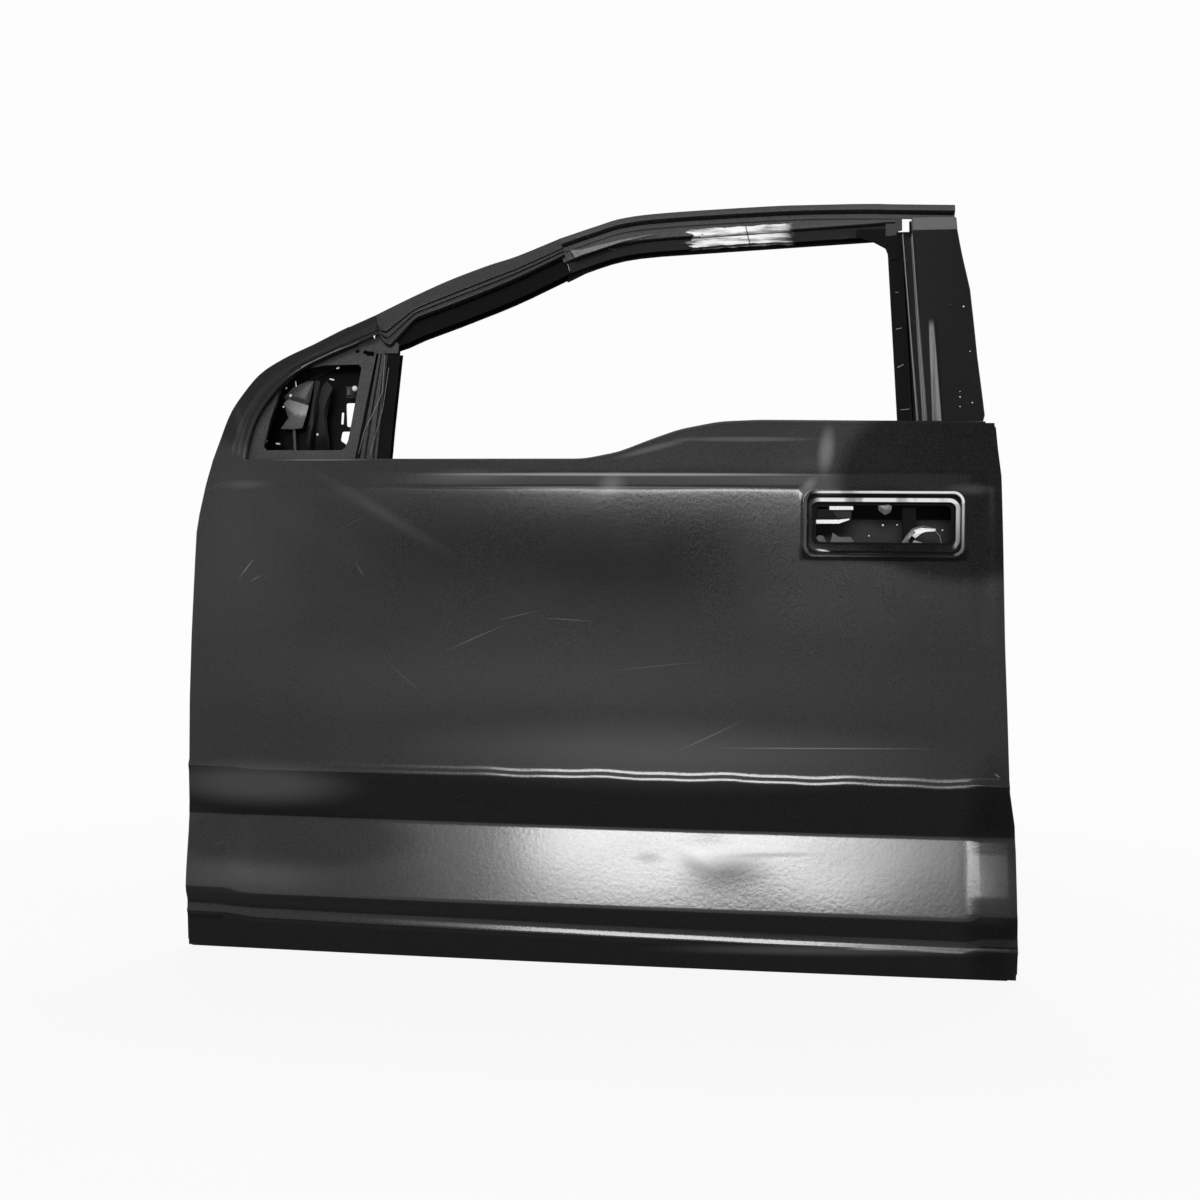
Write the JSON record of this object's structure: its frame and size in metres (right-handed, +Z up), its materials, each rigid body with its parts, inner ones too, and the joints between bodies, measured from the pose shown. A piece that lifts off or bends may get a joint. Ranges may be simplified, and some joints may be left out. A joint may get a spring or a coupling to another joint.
{
  "type": "car door shell",
  "caption": "Bare stamped steel front side door of a full-size pickup, with skin, inner panel, window frame, belt reinforcements and intrusion beam",
  "frame": {"origin": "Centre of the outer face of the hinge wall between the two bolt holes of the upper hinge", "axes": "+X runs rearward along the door to the latch face, +Y runs inboard to the cabin, +Z is up. The door's outside faces -Y."},
  "size_m": [1.3104, 0.214, 1.2178],
  "materials": {
    "coat": "black electro-coat primer, satin to gloss, scuffed",
    "coat_dark": "black electro-coat primer on inner stampings, satin",
    "bare": "primer worn to the metal",
    "zinc": "zinc-coated steel",
    "mastic": "cured anti-flutter mastic"
  },
  "bodies": {
    "root": {"outer_panel": "coat", "inner_panel": "coat_dark", "frame_leg_outer": "coat", "frame_leg_inner": "coat_dark", "leg_run_channel": "coat_dark", "header_outer": "coat", "header_inner": "coat_dark", "header_run_channel": "bare", "corner_gusset": "coat", "pillar_plate": "coat", "pillar_channel": "coat", "pillar_inner": "coat_dark", "rear_run_channel": "coat_dark", "rear_run_bracket": "coat_dark", "division_channel": "coat_dark", "division_bracket": "coat_dark", "mirror_post": "coat", "mirror_bracket": "coat", "mirror_nut_1": "zinc", "mirror_nut_2": "zinc", "mirror_nut_3": "zinc", "sail_inner": "coat_dark", "sail_rail": "coat_dark", "belt_reinforcement_outer": "coat_dark", "belt_reinforcement_inner": "coat_dark", "intrusion_beam": "zinc", "beam_bracket_front": "zinc", "beam_bracket_rear": "zinc", "beam_pad_1": "mastic", "beam_pad_2": "mastic", "beam_pad_3": "mastic", "hinge_reinforcement": "zinc", "hinge_plate_upper": "zinc", "hinge_plate_lower": "zinc", "check_strap_plate": "zinc", "latch_reinforcement": "zinc", "handle_bracket": "coat_dark", "handle_shelf": "coat", "handle_cradle": "bare"}
  },
  "joints": []
}
